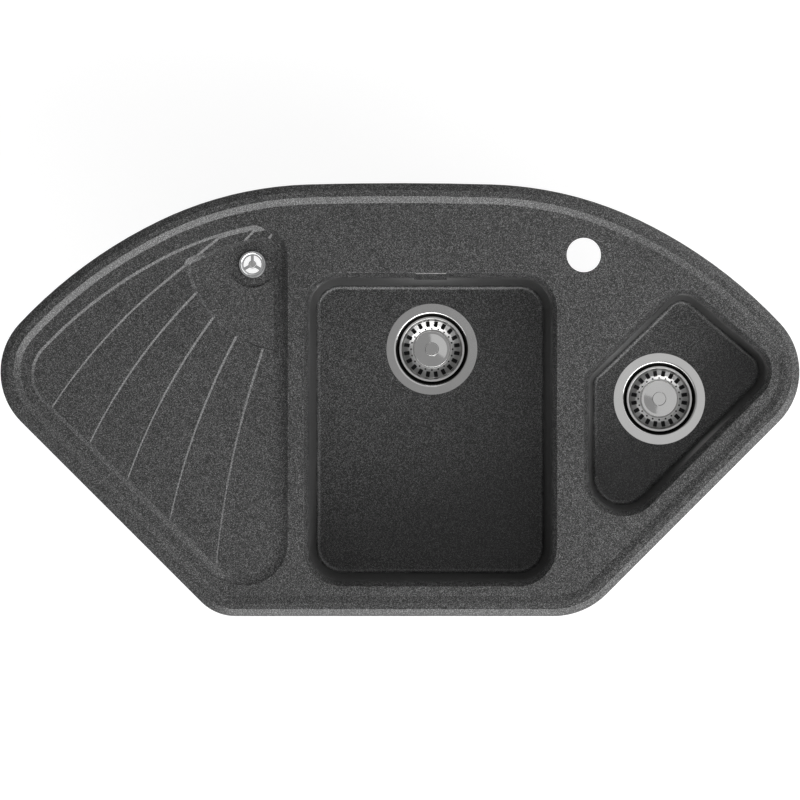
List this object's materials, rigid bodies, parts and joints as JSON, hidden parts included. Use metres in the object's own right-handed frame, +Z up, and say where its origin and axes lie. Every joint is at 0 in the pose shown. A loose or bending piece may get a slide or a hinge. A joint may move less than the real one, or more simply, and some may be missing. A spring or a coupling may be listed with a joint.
{
  "type": "corner kitchen sink",
  "caption": "Corner-shaped inset kitchen sink of dark composite with a main bowl, a half bowl, a stepped drainer, basket strainers that lift out, an overflow and a tap hole.",
  "frame": {"origin": "middle of the sink's outline, on the worktop's surface where the rim rests", "axes": "+X to the half bowl's side, +Y into the room's corner where the tap stands, +Z up"},
  "size_m": [1, 0.542, 0.286],
  "materials": {
    "composite": "matte moulded granite composite, anthracite with fine speckle",
    "steel": "satin stainless steel",
    "chrome": "polished chrome",
    "rubber": "black moulded rubber",
    "foam": "grey closed-cell sealing strip",
    "black_plastic": "black moulded polypropylene",
    "grey_plastic": "grey flexible polypropylene",
    "brass": "turned brass"
  },
  "bodies": {
    "sink": {"sink_body": "composite", "rim_seal": "foam", "fixing_clips": "steel", "clip_screws": "steel", "overflow_cover": "steel", "overflow_screw": "steel", "overflow_gasket": "rubber", "overflow_housing": "black_plastic", "overflow_hose": "grey_plastic", "outlet_rosette": "chrome", "outlet_screw": "steel", "outlet_gasket": "rubber", "tail_gasket": "rubber", "outlet_tail": "black_plastic", "main_strainer_flange": "steel", "main_flange_gasket": "rubber", "main_body_gasket": "rubber", "main_waste_body": "black_plastic", "main_clamp_insert": "brass", "main_clamp_screw": "steel", "half_strainer_flange": "steel", "half_flange_gasket": "rubber", "half_body_gasket": "rubber", "half_waste_body": "black_plastic", "half_clamp_insert": "brass", "half_clamp_screw": "steel"},
    "main_stopper": {"main_basket_stem": "chrome", "main_basket_seal": "rubber", "main_stem_nut": "steel"},
    "main_basket": {"main_basket": "steel"},
    "half_stopper": {"half_basket_stem": "chrome", "half_basket_seal": "rubber", "half_stem_nut": "steel"},
    "half_basket": {"half_basket": "steel"}
  },
  "joints": [
    {"name": "main_stopper_lift", "type": "slide", "parent": "sink", "child": "main_stopper", "axis": [0, 0, 1], "range_m": [0, 0.24]},
    {"name": "main_basket_turn", "type": "hinge", "parent": "main_stopper", "child": "main_basket", "pos_m": [0.0404, 0.0637, -0.2014], "axis": [0, 0, 1], "continuous": true},
    {"name": "half_stopper_lift", "type": "slide", "parent": "sink", "child": "half_stopper", "axis": [0, 0, 1], "range_m": [0, 0.2]},
    {"name": "half_basket_turn", "type": "hinge", "parent": "half_stopper", "child": "half_basket", "pos_m": [0.3266, 0.001, -0.1314], "axis": [0, 0, 1], "continuous": true}
  ]
}
